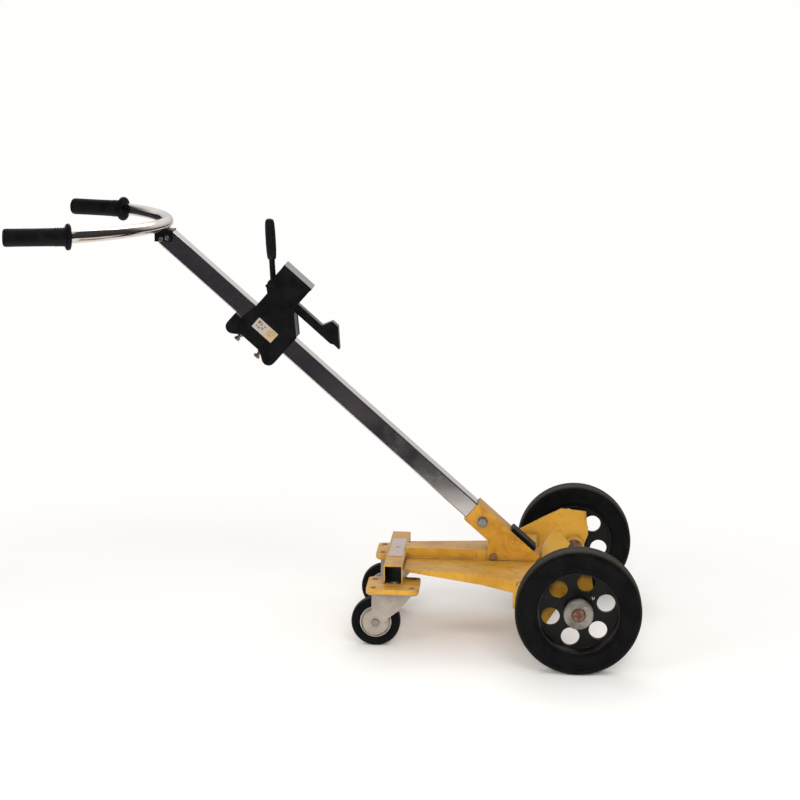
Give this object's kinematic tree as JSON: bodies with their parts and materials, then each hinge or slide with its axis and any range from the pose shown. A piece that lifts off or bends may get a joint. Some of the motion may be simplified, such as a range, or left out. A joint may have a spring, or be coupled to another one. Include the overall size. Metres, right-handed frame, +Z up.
{
  "type": "drum dolly",
  "caption": "Wheeled cradle that grips a tilted drum by its rim: a square mast on a yellow wheeled base, with a sliding clamp head and a bent tube handle",
  "frame": {"origin": "on the floor, under the middle of the bounding box", "axes": "+X forward towards the foot of the mast and the main axle, +Y to the left, +Z up; the mast leans back over -X and the floor is z = 0"},
  "size_m": [1.25, 0.7556, 0.8635],
  "materials": {
    "yellow_paint": "worn semi-gloss safety yellow enamel, scuffed with pale chips",
    "bare_steel": "plain steel fasteners, slightly dull",
    "black_rubber": "smooth black moulded rubber",
    "bright_chrome": "bright chrome plate with fine handling marks",
    "brown_steel": "rust-browned bare steel",
    "zinc_plate": "satin zinc plate, warm pale grey",
    "cast_collar": "pale plated casting with stains",
    "caster_centre": "light grey pressed centre",
    "black_paint": "semi-gloss black, rubbed at the edges",
    "dark_rim": "dull dusty black",
    "tread_rubber": "solid black rubber, dusty tread",
    "gloss_grip": "glossy black hand knob",
    "white_nylon": "off-white nylon slide",
    "bronze_hardware": "bronze-coloured screws and nuts",
    "label_film": null
  },
  "bodies": {
    "frame": {"base_frame": "yellow_paint", "axle_carrier": "yellow_paint", "mast_socket": "yellow_paint", "mast": "bright_chrome", "mast_bolt": "bare_steel", "mast_nut": "bare_steel", "leg_bolt": "bare_steel", "rest_pad": "black_rubber", "stub_axle_left": "brown_steel", "shaft_collar_left": "cast_collar", "caster_plate_left": "zinc_plate", "kingpin_left": "bare_steel", "grip_left": "black_rubber", "stub_axle_right": "brown_steel", "shaft_collar_right": "cast_collar", "caster_plate_right": "zinc_plate", "kingpin_right": "bare_steel", "grip_right": "black_rubber", "handle_clamp": "black_paint", "clamp_bolt_1": "bare_steel", "clamp_bolt_2": "bare_steel", "handlebar": "bright_chrome", "frame_label": "label_film", "plate_screw_left_1": "bare_steel", "plate_screw_left_2": "bare_steel", "plate_screw_left_3": "bare_steel", "plate_screw_left_4": "bare_steel", "plate_screw_right_1": "bare_steel", "plate_screw_right_2": "bare_steel", "plate_screw_right_3": "bare_steel", "plate_screw_right_4": "bare_steel"},
    "main_wheel_left": {"wheel_rim_left": "dark_rim", "wheel_tyre_left": "tread_rubber", "wheel_bearing_left": "bare_steel", "grease_nipple_left": "zinc_plate"},
    "main_wheel_right": {"wheel_rim_right": "dark_rim", "wheel_tyre_right": "tread_rubber", "wheel_bearing_right": "bare_steel", "grease_nipple_right": "zinc_plate"},
    "caster_swivel_left": {"caster_fork_left": "zinc_plate", "caster_axle_left": "bare_steel"},
    "caster_roller_left": {"caster_wheel_left": "caster_centre", "caster_tyre_left": "tread_rubber"},
    "caster_swivel_right": {"caster_fork_right": "zinc_plate", "caster_axle_right": "bare_steel"},
    "caster_roller_right": {"caster_wheel_right": "caster_centre", "caster_tyre_right": "tread_rubber"},
    "head": {"clamp_head": "black_paint", "slide_pad_upper": "white_nylon", "slide_pad_lower": "white_nylon", "gib_screw_1": "bronze_hardware", "gib_screw_2": "bronze_hardware", "gib_nut_1": "bronze_hardware", "gib_nut_2": "bronze_hardware", "head_label": "label_film", "jaw_spring": "bare_steel", "lever_pin": "bare_steel"},
    "jaw": {"clamp_jaw": "black_paint"},
    "lever": {"lever_arm": "black_paint", "lever_grip": "gloss_grip"}
  },
  "joints": [
    {"name": "main_wheel_spin_left", "type": "hinge", "parent": "frame", "child": "main_wheel_left", "pos_m": [0.50047, 0.32, 0.1245], "axis": [0, 1, 0], "continuous": true},
    {"name": "main_wheel_spin_right", "type": "hinge", "parent": "frame", "child": "main_wheel_right", "pos_m": [0.50047, -0.32, 0.1245], "axis": [0, 1, 0], "continuous": true},
    {"name": "caster_turn_left", "type": "hinge", "parent": "frame", "child": "caster_swivel_left", "pos_m": [0.12747, 0.1505, 0.1], "axis": [0, 0, 1], "continuous": true},
    {"name": "caster_spin_left", "type": "hinge", "parent": "caster_swivel_left", "child": "caster_roller_left", "pos_m": [0.09347, 0.1505, 0.05], "axis": [0, 1, 0], "continuous": true},
    {"name": "caster_turn_right", "type": "hinge", "parent": "frame", "child": "caster_swivel_right", "pos_m": [0.12747, -0.1505, 0.1], "axis": [0, 0, 1], "continuous": true},
    {"name": "caster_spin_right", "type": "hinge", "parent": "caster_swivel_right", "child": "caster_roller_right", "pos_m": [0.09347, -0.1505, 0.05], "axis": [0, 1, 0], "continuous": true},
    {"name": "head_slide", "type": "slide", "parent": "frame", "child": "head", "axis": [0.7547, 0, -0.6561], "range_m": [-0.15, 0.35]},
    {"name": "lever_turn", "type": "hinge", "parent": "head", "child": "lever", "pos_m": [-0.13746, 0, 0.72144], "axis": [0, -1, 0], "range_deg": [0, 40]},
    {"name": "jaw_slide", "type": "slide", "parent": "head", "child": "jaw", "axis": [0.7547, 0, -0.6561], "range_m": [0, 0.0105], "deforming": ["jaw_spring"]}
  ],
  "couplings": [
    {"joint": "jaw_slide", "follows": "lever_turn", "m_per_rad": 0.0147}
  ]
}
